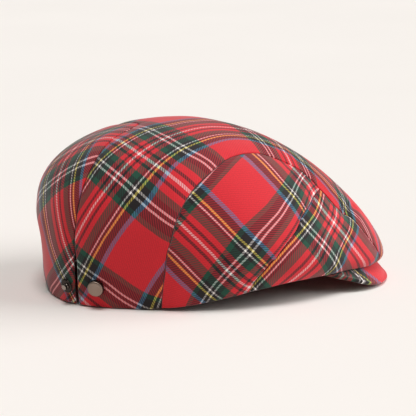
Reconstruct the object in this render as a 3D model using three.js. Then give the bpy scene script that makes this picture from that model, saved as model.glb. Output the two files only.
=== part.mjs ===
// Flat cap: a soft crown of sewn cloth panels drawn forward over a stiff cloth-covered peak, with a
// press snap on each side of the back. Millimetres, +X to the front, +Z up, resting on z = 0.
import * as THREE from 'three';
import { mergeGeometries, mergeVertices } from 'three/addons/utils/BufferGeometryUtils.js';

// Driving dimensions of the crown
const CROWN_HEIGHT = 131;
const APEX_X = -22.5;
const CLOTH_WALL = 2;
const SEAM_GAP = 0.3;
const TIP_CUT = 0.12;
const SEAM_DIP = { depth: 0.9, reach: 6 };

// Open notch at the foot of each back seam, where the snap fastens
const NOTCH = { width: 2.8, topDepth: 1.3, fullDepth: 1.5, fromAngle: 130 };

// Pinch in each top seam, just behind the nose
const PINCH = { angle: 10, depth: 0.668, sink: 2.4, reach: 10 };

// Peak and snaps
const PEAK_WALL = 3;
const PEAK_SEAT_GAP = 0.7;
const PEAK_ROLL = 6;
const SNAP_GAP = 0.3;
const SNAP_CAP = { angle: 130.4, depth: 1.73 };
const SNAP_STUD = { angle: 143.9, depth: 1.78 };

// Crown by direction: degrees from the front, plan reach of the belly from the apex, height of the belly,
// share of the reach left at the rim, height of the rim, and the parabola's share of the upper slope
const CROWN = [
  { angle: 0, reach: 159, bellyZ: 20, rimShare: 0.972, rimZ: 12.5, slope: 0.63 },
  { angle: 20, reach: 134, bellyZ: 25.5, rimShare: 0.96, rimZ: 16, slope: 0.56 },
  { angle: 40, reach: 115, bellyZ: 34, rimShare: 0.945, rimZ: 16.5, slope: 0.4 },
  { angle: 60, reach: 102.5, bellyZ: 42, rimShare: 0.93, rimZ: 12, slope: 0.21 },
  { angle: 90, reach: 94, bellyZ: 52, rimShare: 0.92, rimZ: 3.5, slope: 0 },
  { angle: 115, reach: 96, bellyZ: 60, rimShare: 0.92, rimZ: 0, slope: -0.04 },
  { angle: 150, reach: 116, bellyZ: 70.5, rimShare: 0.95, rimZ: 0, slope: -0.05 },
  { angle: 180, reach: 116, bellyZ: 72, rimShare: 0.96, rimZ: 0, slope: -0.05 },
];

// Seams from the rim upwards: degrees from the front, and depth, 0 at the apex, 1 at the belly, 2 at the rim
const TOP_SEAM = [
  { angle: 102, depth: 2 },
  { angle: 99.3, depth: 1.5 },
  { angle: 97.4, depth: 1.13 },
  { angle: 94, depth: 0.89 },
  { angle: 86.4, depth: 0.68 },
  { angle: 74.2, depth: 0.53 },
  { angle: 60, depth: 0.425 },
  { angle: 43, depth: 0.365 },
  { angle: 27.1, depth: 0.352 },
  { angle: 18, depth: 0.393 },
  { angle: 13.1, depth: 0.46 },
  { angle: 13.2, depth: 0.55 },
  { angle: 12.8, depth: 0.63 },
  { angle: 10.4, depth: 0.662 },
  { angle: 9.2, depth: 0.69 },
  { angle: 8.7, depth: 0.77 },
  { angle: 7.5, depth: 0.845 },
  { angle: 5.2, depth: 1 },
];
const LIP_SEAM = [TOP_SEAM.at(-1), { angle: 5, depth: 2 }];
const SHOULDER_ROW = 4;
const JUNCTION_ROW = 11;
const MIDDLE_JUNCTION = 0.44;
const FRONT_SEAM = [
  { angle: 59.5, depth: 2 },
  { angle: 58, depth: 1.71 },
  { angle: 54.8, depth: 1.4 },
  { angle: 51.3, depth: 1.05 },
  { angle: 46, depth: 0.9 },
  { angle: 39.1, depth: 0.79 },
  { angle: 33.5, depth: 0.705 },
  { angle: 25.5, depth: 0.63 },
  TOP_SEAM[JUNCTION_ROW],
];
const BACK_SEAM = [
  { angle: 140.8, depth: 2 },
  { angle: 139, depth: 1.6 },
  { angle: 138, depth: 1.22 },
  { angle: 136.6, depth: 0.96 },
  { angle: 137, depth: 0.76 },
  { angle: 140, depth: 0.576 },
  { angle: 145, depth: 0.45 },
  { angle: 152, depth: 0.345 },
  { angle: 161, depth: 0.25 },
  { angle: 180, depth: 0.19 },
];

// Peak by direction: plan reach and height of its hidden inner edge and of its outer edge
const PEAK = [
  { angle: 0, innerReach: 90, innerZ: 34, outerReach: 159.9, outerZ: 0.8 },
  { angle: 9, innerReach: 90, innerZ: 33.5, outerReach: 156.8, outerZ: 1.9 },
  { angle: 14, innerReach: 89, innerZ: 33, outerReach: 151, outerZ: 4 },
  { angle: 18, innerReach: 88, innerZ: 32.5, outerReach: 143.5, outerZ: 8 },
  { angle: 21, innerReach: 87, innerZ: 32, outerReach: 133, outerZ: 12 },
  { angle: 22.6, innerReach: 87, innerZ: 31.5, outerReach: 123.6, outerZ: 14 },
  { angle: 25, innerReach: 86, innerZ: 31, outerReach: 113, outerZ: 16.8 },
  { angle: 31, innerReach: 86, innerZ: 29.5, outerReach: 106, outerZ: 19.5 },
  { angle: 40, innerReach: 87, innerZ: 27, outerReach: 100, outerZ: 21 },
];

// Faces along and across the panels
const LEG_STEPS = 10;
const CREST_STEPS = 9;
const NOSE_STEPS = 10;
const LIP_STEPS = 2;
const TOP_COLUMNS = 8;
const SIDE_COLUMNS = 8;
const BACK_COLUMNS = 6;
const PEAK_STEPS = 12;
const PEAK_COLUMNS = 8;
const SNAP_SIDES = 18;

// Fineness of the lines that are measured along the crown, and of its slopes
const CURVE_SAMPLES = 240;
const SEAM_SAMPLES = 60;
const PLACE_STEP = 1e-3;
const PEAK_STEP = { angle: 0.5, share: 0.01 };
const SAME_POINT = 1e-4;
const TINY = 1e-9;
const MOST_DRAWN_IN = 0.6;
const RIM_DEPTH = 2;

// Snap sections, from the axis outwards and round: radius, and height over the cloth
const CAP_PROFILE = [
  { radius: 0, height: 0 },
  { radius: 5.5, height: 0 },
  { radius: 6.25, height: 0.5 },
  { radius: 6.25, height: 3.1 },
  { radius: 6.05, height: 3.9 },
  { radius: 5.3, height: 4.4 },
  { radius: 0, height: 4.6 },
];
const STUD_PROFILE = [
  { radius: 0, height: 0 },
  { radius: 5.6, height: 0 },
  { radius: 5.6, height: 0.7 },
  { radius: 4.6, height: 1.2 },
  { radius: 3, height: 0.9 },
  { radius: 2.1, height: 1.2 },
  { radius: 2.1, height: 2.2 },
  { radius: 2.5, height: 3 },
  { radius: 1.9, height: 3.8 },
  { radius: 0, height: 4 },
];

const clothLook = { color: 0xc42f3a, roughness: 0.85, metalness: 0 };
const capLook = { color: 0x8f8078, roughness: 0.4, metalness: 0.9 };
const studLook = { color: 0x4a4643, roughness: 0.35, metalness: 0.9 };

const radians = THREE.MathUtils.degToRad;

// Smooth value of one column of a table at a direction, level at both ends and where it turns
function tableValue(table, column, angle) {
  const last = table.length - 2;
  const row = Math.min(last, Math.max(0, table.findIndex((next) => next.angle > angle) - 1));
  const found = angle >= table[table.length - 1].angle ? last : row;
  const rise = (i) => (table[i + 1][column] - table[i][column]) / (table[i + 1].angle - table[i].angle);
  const slopeAt = (i) => {
    if (i === 0 || i === table.length - 1) return 0;
    const turns = rise(i - 1) * rise(i) <= 0;
    const before = table[i - 1];
    const after = table[i + 1];
    return turns ? 0 : (after[column] - before[column]) / (after.angle - before.angle);
  };
  const from = table[found];
  const to = table[found + 1];
  const span = to.angle - from.angle;
  const s = (angle - from.angle) / span;
  const start = (1 + 2 * s) * (1 - s) * (1 - s) * from[column];
  const end = s * s * (3 - 2 * s) * to[column];
  const leave = s * (1 - s) * (1 - s) * span * slopeAt(found);
  const arrive = s * s * (s - 1) * span * slopeAt(found + 1);
  return start + end + leave + arrive;
}

// A place on the crown is a flat vector: its direction is the direction in plan, its length is the depth
function place({ angle, depth }) {
  return new THREE.Vector2(depth * Math.cos(radians(angle)), -depth * Math.sin(radians(angle)));
}
const angleOf = (spot) => Math.abs(THREE.MathUtils.radToDeg(Math.atan2(spot.y, spot.x)));

function smoothCrown(spot) {
  const depth = spot.length();
  const angle = angleOf(spot);
  const value = (column) => tableValue(CROWN, column, angle);
  const quarter = Math.min(depth, 1) * Math.PI / 2;
  const under = Math.max(depth - 1, 0);
  const slope = value('slope');
  const drop = slope * Math.sin(quarter) ** 2 + (1 - slope) * (1 - Math.cos(quarter));
  const share = Math.sin(quarter) - (1 - value('rimShare')) * under * under;
  const reach = value('reach') * share / Math.max(depth, TINY);
  const upperZ = CROWN_HEIGHT - (CROWN_HEIGHT - value('bellyZ')) * drop;
  const z = upperZ + (value('rimZ') - value('bellyZ')) * under;
  return new THREE.Vector3(APEX_X + reach * spot.x, reach * spot.y, z);
}

function crownNormal(spot) {
  const step = PLACE_STEP;
  const shifted = (x, y) => smoothCrown(new THREE.Vector2(spot.x + x, spot.y + y));
  const forward = shifted(step, 0).sub(shifted(-step, 0));
  const sideways = shifted(0, step).sub(shifted(0, -step));
  return forward.cross(sideways).normalize();
}

// At the rim the wall goes straight in, so that its foot is level
function wallNormal(spot) {
  const normal = crownNormal(spot);
  const atRim = spot.length() > RIM_DEPTH - TINY;
  return atRim ? normal.setZ(0).normalize() : normal;
}

const seamCurve = (rows) => new THREE.SplineCurve(rows.map(place));
const topSeam = seamCurve(TOP_SEAM);
const lipSeam = seamCurve(LIP_SEAM);
const frontSeam = seamCurve(FRONT_SEAM);
const backSeam = seamCurve(BACK_SEAM);

// Places along part of a curve, spaced evenly on the crown itself
function evenPlaces(curve, from, to, steps) {
  const fine = CURVE_SAMPLES;
  const spots = Array.from({ length: fine + 1 }, (_, i) => curve.getPoint(from + (to - from) * i / fine));
  const points = spots.map(smoothCrown);
  const run = [0];
  for (let i = 1; i <= fine; i += 1) run.push(run[i - 1] + points[i].distanceTo(points[i - 1]));
  return Array.from({ length: steps + 1 }, (_, k) => {
    const wanted = run[fine] * k / steps;
    const after = Math.max(1, run.findIndex((length) => length >= wanted - TINY));
    const share = (wanted - run[after - 1]) / (run[after] - run[after - 1]);
    return spots[after - 1].clone().lerp(spots[after], share);
  });
}

const seams = [topSeam, lipSeam, frontSeam, backSeam];
const seamPoints = seams.flatMap((curve) => evenPlaces(curve, 0, 1, SEAM_SAMPLES)).map(smoothCrown);

// Outer point of the cloth: the smooth crown, drawn in along the seams and at the pinch
function crownPoint(spot) {
  const point = smoothCrown(spot);
  const near = new THREE.Vector3(point.x, -Math.abs(point.y), point.z);
  const seamAway = Math.min(...seamPoints.map((seam) => seam.distanceTo(near)));
  const pinchAway = smoothCrown(place(PINCH)).distanceTo(near);
  const dip = SEAM_DIP.depth * Math.exp(-((seamAway / SEAM_DIP.reach) ** 2));
  const sink = PINCH.sink * Math.exp(-((pinchAway / PINCH.reach) ** 2));
  return point.addScaledVector(wallNormal(spot), -(dip + sink));
}

const innerPoint = (spot, outer) => outer.clone().addScaledVector(wallNormal(spot), -CLOTH_WALL);

// Closed body from two facing grids of points; open(row) leaves the last column without its edge wall
function closedGrid(outer, inner, open = () => false) {
  const rows = outer.length;
  const columns = outer[0].length;
  const points = [...outer.flat(), ...inner.flat()];
  const at = (row, column, layer) => layer * rows * columns + row * columns + column;
  const index = [];
  const quad = (a, b, c, d) => index.push(a, b, c, a, c, d);
  for (let i = 0; i < rows - 1; i += 1) {
    for (let j = 0; j < columns - 1; j += 1) {
      quad(at(i, j, 0), at(i, j + 1, 0), at(i + 1, j + 1, 0), at(i + 1, j, 0));
      quad(at(i, j, 1), at(i + 1, j, 1), at(i + 1, j + 1, 1), at(i, j + 1, 1));
    }
    quad(at(i, 0, 0), at(i + 1, 0, 0), at(i + 1, 0, 1), at(i, 0, 1));
    const end = columns - 1;
    if (!open(i)) quad(at(i, end, 0), at(i, end, 1), at(i + 1, end, 1), at(i + 1, end, 0));
  }
  for (let j = 0; j < columns - 1; j += 1) {
    quad(at(0, j, 0), at(0, j, 1), at(0, j + 1, 1), at(0, j + 1, 0));
    quad(at(rows - 1, j, 0), at(rows - 1, j + 1, 0), at(rows - 1, j + 1, 1), at(rows - 1, j, 1));
  }
  const geometry = new THREE.BufferGeometry().setFromPoints(points);
  geometry.setIndex(index);
  return geometry;
}

function turnedInsideOut(geometry) {
  const index = geometry.getIndex().array;
  const flipped = [];
  for (let i = 0; i < index.length; i += 3) flipped.push(index[i], index[i + 2], index[i + 1]);
  geometry.setIndex(flipped);
  return geometry;
}

const mirrored = (geometry) => turnedInsideOut(geometry.clone().scale(1, -1, 1));
const joinedAcrossMiddle = (half) => mergeVertices(mergeGeometries([half, mirrored(half)]), SAME_POINT);

// Clear width kept at a place on a seam: the plain seam gap, or the notch at the foot of a back seam
function seamGap(spot) {
  const notchShare = THREE.MathUtils.smoothstep(spot.length(), NOTCH.topDepth, NOTCH.fullDepth);
  const atBack = angleOf(spot) > NOTCH.fromAngle;
  return atBack ? THREE.MathUtils.lerp(SEAM_GAP, NOTCH.width, notchShare) : SEAM_GAP;
}

// Edge of a panel drawn in from its seam, square to the seam, towards the next line of places
function drawnIn(edge, next) {
  return edge.map((spot, i) => {
    const before = smoothCrown(edge[Math.max(i - 1, 0)]);
    const after = smoothCrown(edge[Math.min(i + 1, edge.length - 1)]);
    const inward = smoothCrown(next[i]).sub(smoothCrown(spot));
    const squareness = inward.clone().cross(after.sub(before).normalize()).length();
    return spot.clone().lerp(next[i], Math.min(seamGap(spot) / 2 / squareness, MOST_DRAWN_IN));
  });
}

// Places of a panel on lines from its left to its right edge; the bow of its first row fades out over the
// rows after it
function panelPlaces(left, right, first, fadeRows) {
  const columns = first.length - 1;
  return left.map((_, i) => first.map((spot, j) => {
    const chord = first[0].clone().lerp(first[columns], j / columns);
    const bow = spot.clone().sub(chord).multiplyScalar(Math.max(0, 1 - i / fadeRows));
    return left[i].clone().lerp(right[i], j / columns).add(bow);
  }));
}

const arcPlaces = (from, to, steps) => Array.from({ length: steps + 1 }, (_, k) =>
  place({ angle: THREE.MathUtils.lerp(from, to, k / steps), depth: RIM_DEPTH }));

const columnOf = (places, j) => places.map((row) => row.at(j));

// Rows of places with their first and last columns drawn in from the seams, where the panel has them
function cleared(places, lastSeamRow = places.length) {
  const left = drawnIn(columnOf(places, 0), columnOf(places, 1));
  const right = drawnIn(columnOf(places, -1), columnOf(places, -2));
  return places.map((row, i) => [left[i], ...row.slice(1, -1), i < lastSeamRow ? right[i] : row.at(-1)]);
}

function clothWall(places, open) {
  const outer = places.map((row) => row.map(crownPoint));
  const inner = places.map((row, i) => row.map((spot, j) => innerPoint(spot, outer[i][j])));
  return closedGrid(outer, inner, open);
}

// Shared places along the seams, so that neighbouring panels meet facet to facet
const topRow = (row) => row / (TOP_SEAM.length - 1);
const legEdge = evenPlaces(topSeam, 0, topRow(SHOULDER_ROW), LEG_STEPS);
const crestEdge = evenPlaces(topSeam, topRow(SHOULDER_ROW), topRow(JUNCTION_ROW), CREST_STEPS);
const noseEdge = evenPlaces(topSeam, topRow(JUNCTION_ROW), 1, NOSE_STEPS);
const lipEdge = evenPlaces(lipSeam, 0, 1, LIP_STEPS);
const frontEdge = evenPlaces(frontSeam, 0, 1, LEG_STEPS + CREST_STEPS);
const backEdge = evenPlaces(backSeam, 0, 1, LEG_STEPS);
const rimAngle = (seam) => seam[0].angle;

// The last row of a panel that runs to a point stops just short of the point
function blunted(edge) {
  const spots = edge.map((spot) => spot.clone());
  const end = spots.length - 1;
  spots[end].lerp(spots[end - 1], TIP_CUT);
  return spots;
}

const middleLine = (from, to) => new THREE.LineCurve(new THREE.Vector2(from, 0), new THREE.Vector2(to, 0));

function topPanel() {
  const crestMiddle = evenPlaces(middleLine(backEdge[LEG_STEPS].x, MIDDLE_JUNCTION), 0, 1, CREST_STEPS);
  const noseMiddle = evenPlaces(middleLine(MIDDLE_JUNCTION, 1), 0, 1, NOSE_STEPS);
  const lipMiddle = evenPlaces(middleLine(1, RIM_DEPTH), 0, 1, LIP_STEPS);
  const left = [...legEdge, ...crestEdge.slice(1), ...noseEdge.slice(1), ...lipEdge.slice(1)];
  const right = [...backEdge.slice(0, -1), ...crestMiddle, ...noseMiddle.slice(1), ...lipMiddle.slice(1)];
  const rim = arcPlaces(rimAngle(TOP_SEAM), rimAngle(BACK_SEAM), TOP_COLUMNS);
  const places = cleared(panelPlaces(left, right, rim, LEG_STEPS), LEG_STEPS);
  places.forEach((row, i) => {
    if (i >= LEG_STEPS) row[TOP_COLUMNS].y = 0;
  });
  return joinedAcrossMiddle(turnedInsideOut(clothWall(places, (i) => i >= LEG_STEPS)));
}

function backPanel() {
  const left = blunted(backEdge);
  const right = blunted(evenPlaces(middleLine(-RIM_DEPTH, backEdge[LEG_STEPS].x), 0, 1, LEG_STEPS));
  const rim = arcPlaces(rimAngle(BACK_SEAM), 180, BACK_COLUMNS);
  const places = cleared(panelPlaces(left, right, rim, LEG_STEPS), 0);
  places.forEach((row) => {
    row[BACK_COLUMNS].y = 0;
  });
  return joinedAcrossMiddle(turnedInsideOut(clothWall(places, () => true)));
}

function sidePanel() {
  const left = blunted([...legEdge, ...crestEdge.slice(1)]);
  const right = blunted(frontEdge);
  const rim = arcPlaces(rimAngle(TOP_SEAM), rimAngle(FRONT_SEAM), SIDE_COLUMNS);
  return clothWall(cleared(panelPlaces(left, right, rim, LEG_STEPS)));
}

function frontPanel() {
  const lower = arcPlaces(rimAngle(FRONT_SEAM), LIP_SEAM[1].angle, NOSE_STEPS);
  const places = panelPlaces(lower, noseEdge, frontEdge, NOSE_STEPS);
  const upperEdge = drawnIn(columnOf(places, -1), columnOf(places, -2));
  places.forEach((row, i) => row.splice(-1, 1, upperEdge[i]));
  places[0] = drawnIn(places[0], places[1]);
  places[NOSE_STEPS] = drawnIn(places[NOSE_STEPS], places[NOSE_STEPS - 1]);
  return turnedInsideOut(clothWall(places));
}

// One section of the peak: a gentle fall from the inner edge to its seat under the crown's edge, then a
// quicker roll down to the outer edge
function peakMiddle(angle, share) {
  const value = (column) => tableValue(PEAK, column, angle);
  const edge = tableValue(CROWN, 'reach', angle) * tableValue(CROWN, 'rimShare', angle) - CLOTH_WALL;
  const length = value('outerReach') - value('innerReach');
  const seat = Math.min(1, (edge - value('innerReach')) / length);
  const seatZ = tableValue(CROWN, 'rimZ', angle) - PEAK_SEAT_GAP - PEAK_WALL / 2;
  const seatFall = value('innerZ') - seatZ;
  const wholeFall = value('innerZ') - value('outerZ');
  const roll = seat < 1 ? (seat * wholeFall - seatFall) / (seat - seat ** PEAK_ROLL) : 0;
  const fall = (wholeFall - roll) * share + roll * share ** PEAK_ROLL;
  const reach = value('innerReach') + length * share;
  const turn = radians(angle);
  return new THREE.Vector3(APEX_X + reach * Math.cos(turn), -reach * Math.sin(turn), value('innerZ') - fall);
}

function peakNormal(angle, share) {
  const along = peakMiddle(angle, share + PEAK_STEP.share).sub(peakMiddle(angle, share - PEAK_STEP.share));
  const across = peakMiddle(angle + PEAK_STEP.angle, share).sub(peakMiddle(angle - PEAK_STEP.angle, share));
  if (angle < PEAK_STEP.angle) across.set(0, -1, 0);
  return along.cross(across).normalize().negate();
}

function peakSolid() {
  const widest = PEAK[PEAK.length - 1].angle;
  const layer = (side) => Array.from({ length: PEAK_COLUMNS + 1 }, (_, i) =>
    Array.from({ length: PEAK_STEPS + 1 }, (__, j) => {
      const angle = widest * (1 - j / PEAK_STEPS);
      const point = peakMiddle(angle, i / PEAK_COLUMNS);
      point.addScaledVector(peakNormal(angle, i / PEAK_COLUMNS), side * PEAK_WALL / 2);
      if (j === PEAK_STEPS) point.y = 0;
      return point;
    }));
  return joinedAcrossMiddle(turnedInsideOut(closedGrid(layer(1), layer(-1), () => true)));
}

function turnedSnap(profile) {
  const outline = profile.map(({ radius, height }) => new THREE.Vector2(radius, height));
  return new THREE.LatheGeometry(outline, SNAP_SIDES);
}

function clothMesh(name, geometry) {
  const mesh = new THREE.Mesh(geometry, new THREE.MeshStandardMaterial(clothLook));
  mesh.name = name;
  return mesh;
}

// A snap part stands on the cloth, square to it, on the right side or mirrored to the left
function snapMesh(name, profile, look, spotRow, side) {
  const spot = place(spotRow);
  const normal = crownNormal(spot);
  const foot = crownPoint(spot).addScaledVector(normal, SNAP_GAP);
  const mesh = new THREE.Mesh(turnedSnap(profile), new THREE.MeshStandardMaterial(look));
  mesh.name = name;
  mesh.position.set(foot.x, foot.y * side, foot.z);
  normal.y *= side;
  mesh.quaternion.setFromUnitVectors(new THREE.Vector3(0, 1, 0), normal);
  return mesh;
}

const cap = new THREE.Group();
cap.name = 'flat_cap';
cap.add(clothMesh('top_panel', topPanel()));
cap.add(clothMesh('back_panel', backPanel()));
cap.add(clothMesh('peak', peakSolid()));
const side = sidePanel();
const front = frontPanel();
cap.add(clothMesh('side_panel_right', side), clothMesh('side_panel_left', mirrored(side)));
cap.add(clothMesh('front_panel_right', front), clothMesh('front_panel_left', mirrored(front)));
[['right', 1], ['left', -1]].forEach(([name, sign]) => {
  cap.add(snapMesh(`snap_cap_${name}`, CAP_PROFILE, capLook, SNAP_CAP, sign));
  cap.add(snapMesh(`snap_stud_${name}`, STUD_PROFILE, studLook, SNAP_STUD, sign));
});

export default cap;
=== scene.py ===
"""Flat cap in red tartan: sewn cloth panels drawn forward over a stiff peak, with a press snap on each
side of the back. Tables are in millimetres and degrees; +X is the front, -Y the wearer's right, +Z up."""

import math

import bmesh
import bpy
import numpy as np
from mathutils import Matrix, Vector, noise
from mathutils.interpolate import poly_3d_calc
from mathutils.kdtree import KDTree


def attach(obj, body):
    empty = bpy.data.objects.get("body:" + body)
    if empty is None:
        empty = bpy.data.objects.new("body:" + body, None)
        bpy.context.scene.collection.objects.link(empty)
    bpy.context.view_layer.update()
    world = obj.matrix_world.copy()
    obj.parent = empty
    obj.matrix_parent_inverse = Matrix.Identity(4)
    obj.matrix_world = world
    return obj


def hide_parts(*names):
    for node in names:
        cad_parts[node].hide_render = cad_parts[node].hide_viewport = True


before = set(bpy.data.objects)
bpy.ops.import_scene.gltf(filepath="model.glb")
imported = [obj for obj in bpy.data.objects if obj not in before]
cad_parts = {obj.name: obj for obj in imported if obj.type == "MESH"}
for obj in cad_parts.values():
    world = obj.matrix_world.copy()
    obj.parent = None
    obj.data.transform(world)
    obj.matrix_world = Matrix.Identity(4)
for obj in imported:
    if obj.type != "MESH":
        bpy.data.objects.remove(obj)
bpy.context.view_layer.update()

MM = 0.001
TINY = 1e-9

# Camera: the wearer's right side, a little from above
PICTURE_SIDE = 416
FOCAL_PIXELS = 1375
SENSOR = 36
TARGET = (0, 0, 55)
TARGET_PIXEL = (213.4, 211.6)
CAMERA = {"distance": 1100, "elevation": 14.2, "roll": 0.9}

# Crown
CROWN_HEIGHT = 131
APEX_X = -22.5
CLOTH_WALL = 1.9
SEAM_GAP = 0.16
SEAM_DIP = {"depth": 0.9, "reach": 6}
EDGE_ROLL = 1.3
NOTCH = {"width": 2.8, "top_depth": 1.3, "full_depth": 1.5, "from_angle": 130}
RIM_DEPTH = 2
TIP_CUT = 0.2
MOST_DRAWN_IN = 0.4

# Crown by direction: plan reach and height of its belly, rim as a share of the reach and a height, slope
CROWN_COLUMNS = ("angle", "reach", "belly_z", "rim_share", "rim_z", "slope")
CROWN = np.array([
    (0, 159, 20, 0.972, 12.5, 0.63),
    (20, 134, 25.5, 0.96, 16, 0.56),
    (40, 115, 34, 0.945, 16.5, 0.4),
    (60, 102.5, 42, 0.93, 12, 0.21),
    (90, 94, 52, 0.92, 3.5, 0),
    (115, 96, 60, 0.92, 0, -0.04),
    (150, 116, 70.5, 0.95, 0, -0.05),
    (180, 116, 72, 0.96, 0, -0.05),
])

# Seams from the rim upwards: degrees from the front, and depth, 0 at the apex, 1 at the belly, 2 at the rim
TOP_SEAM = np.array([
    (102, 2), (99.3, 1.5), (97.4, 1.13), (94, 0.89), (86.4, 0.68), (74.2, 0.53),
    (60, 0.425), (43, 0.365), (27.1, 0.352), (18, 0.393), (13.1, 0.46), (13.2, 0.55),
    (12.8, 0.63), (10.4, 0.662), (9.2, 0.69), (8.7, 0.77), (7.5, 0.845), (5.2, 1),
])
LIP_SEAM = np.array([TOP_SEAM[-1], (5, RIM_DEPTH)])
SHOULDER_ROW = 4
JUNCTION_ROW = 11
MIDDLE_JUNCTION = 0.44
FRONT_SEAM = np.array([
    (59.5, 2), (58, 1.71), (54.8, 1.4), (51.3, 1.05), (46, 0.9), (39.1, 0.79),
    (33.5, 0.705), (25.5, 0.63), TOP_SEAM[JUNCTION_ROW],
])
BACK_SEAM = np.array([
    (140.8, 2), (139, 1.6), (138, 1.22), (136.6, 0.96), (137, 0.76), (140, 0.576),
    (145, 0.45), (152, 0.345), (161, 0.25), (180, 0.19),
])

# Peak by direction: plan reach and height of its hidden inner edge and of its outer edge
PEAK_COLUMNS = ("angle", "inner_reach", "inner_z", "outer_reach", "outer_z")
PEAK = np.array([
    (0, 90, 34, 159.9, 0.8),
    (9, 90, 33.5, 156.8, 1.9),
    (14, 89, 33, 151, 4),
    (18, 88, 32.5, 143.5, 8),
    (21, 87, 32, 133, 12),
    (22.6, 87, 31.5, 123.6, 14),
    (25, 86, 31, 113, 16.8),
    (31, 86, 29.5, 106, 19.5),
    (40, 87, 27, 100, 21),
])
PEAK_WALL = 3
PEAK_SEAT_GAP = 0.7
PEAK_ROLL = 6
SEAT_INSET = 2

# Points in the middle of the crown and of the peak
CROWN_MIDDLE = Vector((-20, 0, 30)) * MM
PEAK_MIDDLE = Vector((90, 0, 15)) * MM

# Folds: where each starts and ends on the crown, its height and its width; a dent is negative
PINCH = (10, 0.668)
FOLDS = [
    (*PINCH, *PINCH, -2.4, 10),
    (*PINCH, 4, 0.655, -1.6, 4),
    (160, 1.15, 180, 1.15, 2.2, 14),
    (160, 1.86, 180, 1.86, 1.8, 14),
]
WAVE = {"height": 0.5, "size": 34}
PUCKER = {"height": 0.5, "size": 7, "reach": 7}

# Sett: stripes from the middle outwards, each a colour and a width, which then run back to the middle
WARP_SETT = [
    ("white", 0.85), ("red", 2.85), ("black", 2.3), ("red", 4.45), ("green", 6.3), ("black", 2.45),
    ("white", 1.55), ("black", 2.15), ("yellow", 1.8), ("black", 5.4), ("blue", 3.3), ("red", 17.2),
]
WEFT_SETT = [
    ("white", 0.85), ("red", 2.85), ("black", 2), ("red", 4.6), ("green", 4.3), ("black", 4),
    ("white", 1.35), ("black", 2.6), ("white", 1.35), ("black", 6.15), ("green", 3.6), ("red", 19.9),
]
WARP_REPEAT = 2 * sum(width for _, width in WARP_SETT)
WEFT_REPEAT = 2 * sum(width for _, width in WEFT_SETT)

# Lines of the tartan read off the photo: threads, distance from the middle of the sett, pixels
WHITE = 20
YELLOW = 23.8
BLUE = 31.8
PAIR = 21.3
PAIR_NEAR = 19.3
PAIR_FAR = 23.2
GREEN = 31.9
RED = 34.5
SIDE_LINES = [
    ("warp", -YELLOW, [(169.1, 254.8), (206.1, 291.8)]),
    ("warp", 0, [(179.3, 221.8), (210.2, 251.2), (228.4, 270.9)]),
    ("warp", YELLOW, [(194.6, 193.6), (250.8, 248.4)]),
    ("warp", BLUE, [(220, 202), (244.2, 227.6)]),
    ("warp", WARP_REPEAT - BLUE, [(242.3, 154.9), (277.4, 189.3)]),
    ("warp", WARP_REPEAT - YELLOW, [(254, 153.8), (291.6, 192.3)]),
    ("warp", WARP_REPEAT - WHITE, [(262, 157.5), (291, 190), (304, 205)]),
    ("warp", WARP_REPEAT, [(287.3, 163.8), (294.8, 169.4), (303.5, 178.8), (311, 187.5)]),
    ("weft", PAIR, [(212.5, 289.2), (249.5, 251), (280, 214), (293, 193), (300.4, 178.8),
                    (303.5, 172.2)]),
    ("weft", 8, [(309, 185)]),
    ("weft", GREEN, [(239.3, 231.8), (275, 196)]),
    ("weft", WEFT_REPEAT - GREEN, [(211.2, 187.2), (234.2, 161.7)]),
]
FRONT_LINES = [
    ("warp", YELLOW, [(320.4, 191.1), (320.4, 197.2), (318.1, 204.1), (315.8, 211)]),
    ("warp", WHITE, [(323.4, 194.9), (321.5, 203.3), (315.8, 218.6), (300, 239.3), (287.4, 253.2),
                     (268.3, 274.8)]),
    ("warp", 0, [(336.4, 211.8), (335.3, 217.9), (329.5, 230.1), (325.7, 237.8), (318.8, 252.3),
                 (295.4, 281.6)]),
    ("warp", -WHITE, [(350.2, 221.7), (349.8, 227.1), (347.9, 232.4), (341, 245.4), (337.2, 253.9),
                      (334.5, 262.3), (328.8, 270.7)]),
    ("warp", -YELLOW, [(352.1, 227.8), (350.2, 234.7), (342.6, 248.5), (339.5, 256.2),
                       (337.2, 263.8)]),
    ("warp", -BLUE, [(356.7, 233.2), (354.1, 240.1), (350.2, 246.2), (346.4, 254.6),
                     (343.7, 262.3)]),
    ("warp", BLUE - WARP_REPEAT, [(378.9, 250), (376.3, 257.7)]),
    ("weft", 0, [(314.5, 198.7), (321.9, 209.5), (327.6, 215.6), (333.4, 222.5), (340.3, 230.9),
                 (345.6, 236.6), (351.8, 246.6), (356.3, 252.3), (360.9, 258.5), (364, 263.1)]),
    ("weft", PAIR, [(306.9, 228), (323, 244.3), (334.9, 259.8)]),
    ("weft", -PAIR_NEAR, [(359.3, 225.7), (365, 233.8), (371.4, 242.9), (377, 249.5)]),
]
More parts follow.
